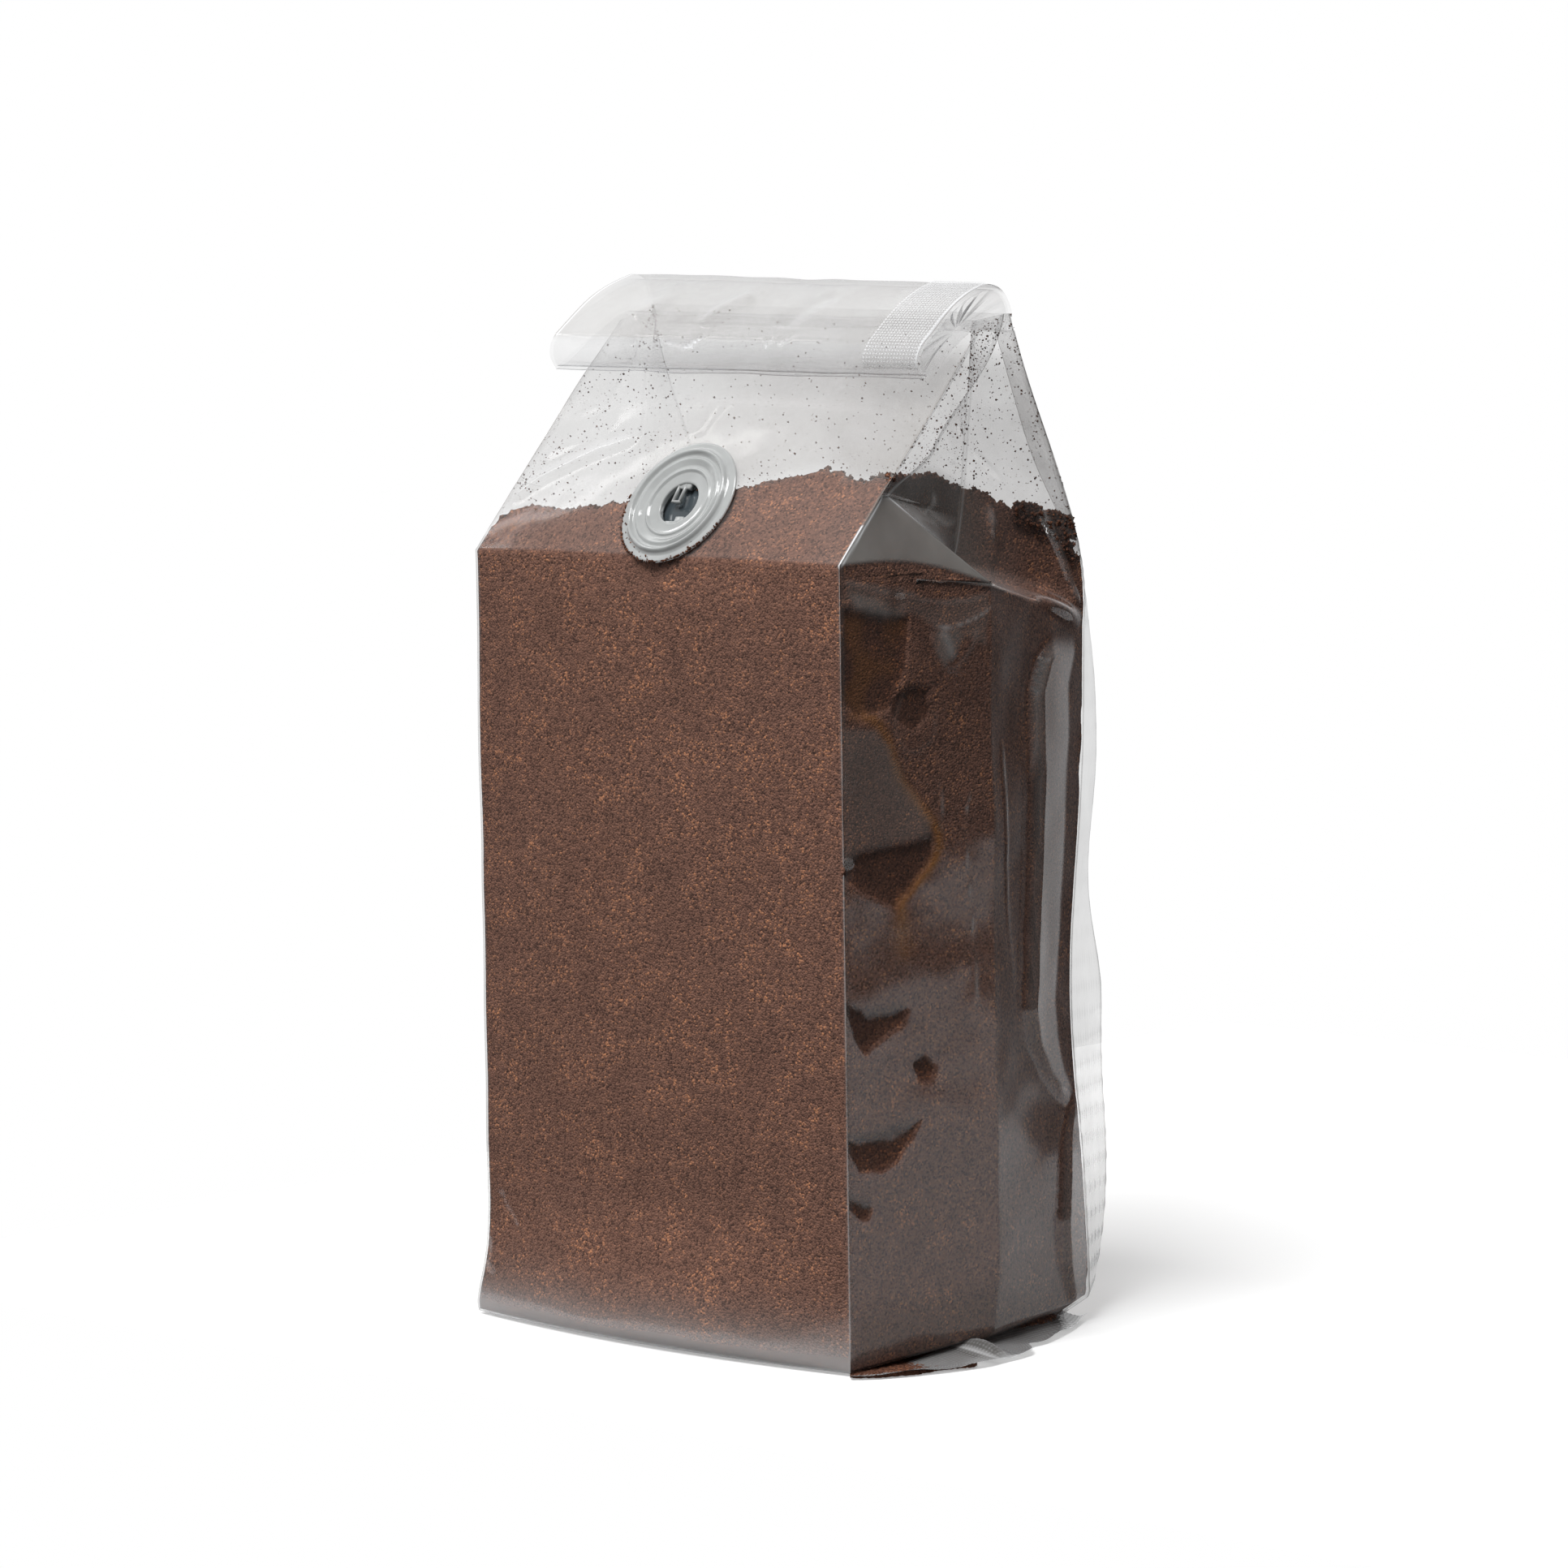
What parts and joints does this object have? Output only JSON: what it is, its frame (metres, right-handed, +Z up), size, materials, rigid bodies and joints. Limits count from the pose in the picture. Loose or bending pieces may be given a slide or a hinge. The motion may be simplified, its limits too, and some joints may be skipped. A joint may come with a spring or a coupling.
{
  "type": "coffee bag",
  "caption": "Upright clear film bag of ground coffee with side gussets, a top rolled forward into a cuff, a fin seal and a degassing valve.",
  "frame": {"origin": "middle of the footprint, on the surface that the bag stands on", "axes": "+Z up, +X to the right across the front panel, -Y out of the front panel, towards the valve's side"},
  "size_m": [0.1028, 0.0748, 0.1782],
  "materials": {
    "filled_bag": "satin",
    "clear_film": "gloss",
    "ground_coffee": "matte",
    "valve_plastic": "satin",
    "valve_rubber": "satin"
  },
  "bodies": {
    "root": {"bag": "filled_bag", "valve_body": "valve_plastic", "valve_disc": "valve_rubber"}
  },
  "joints": []
}
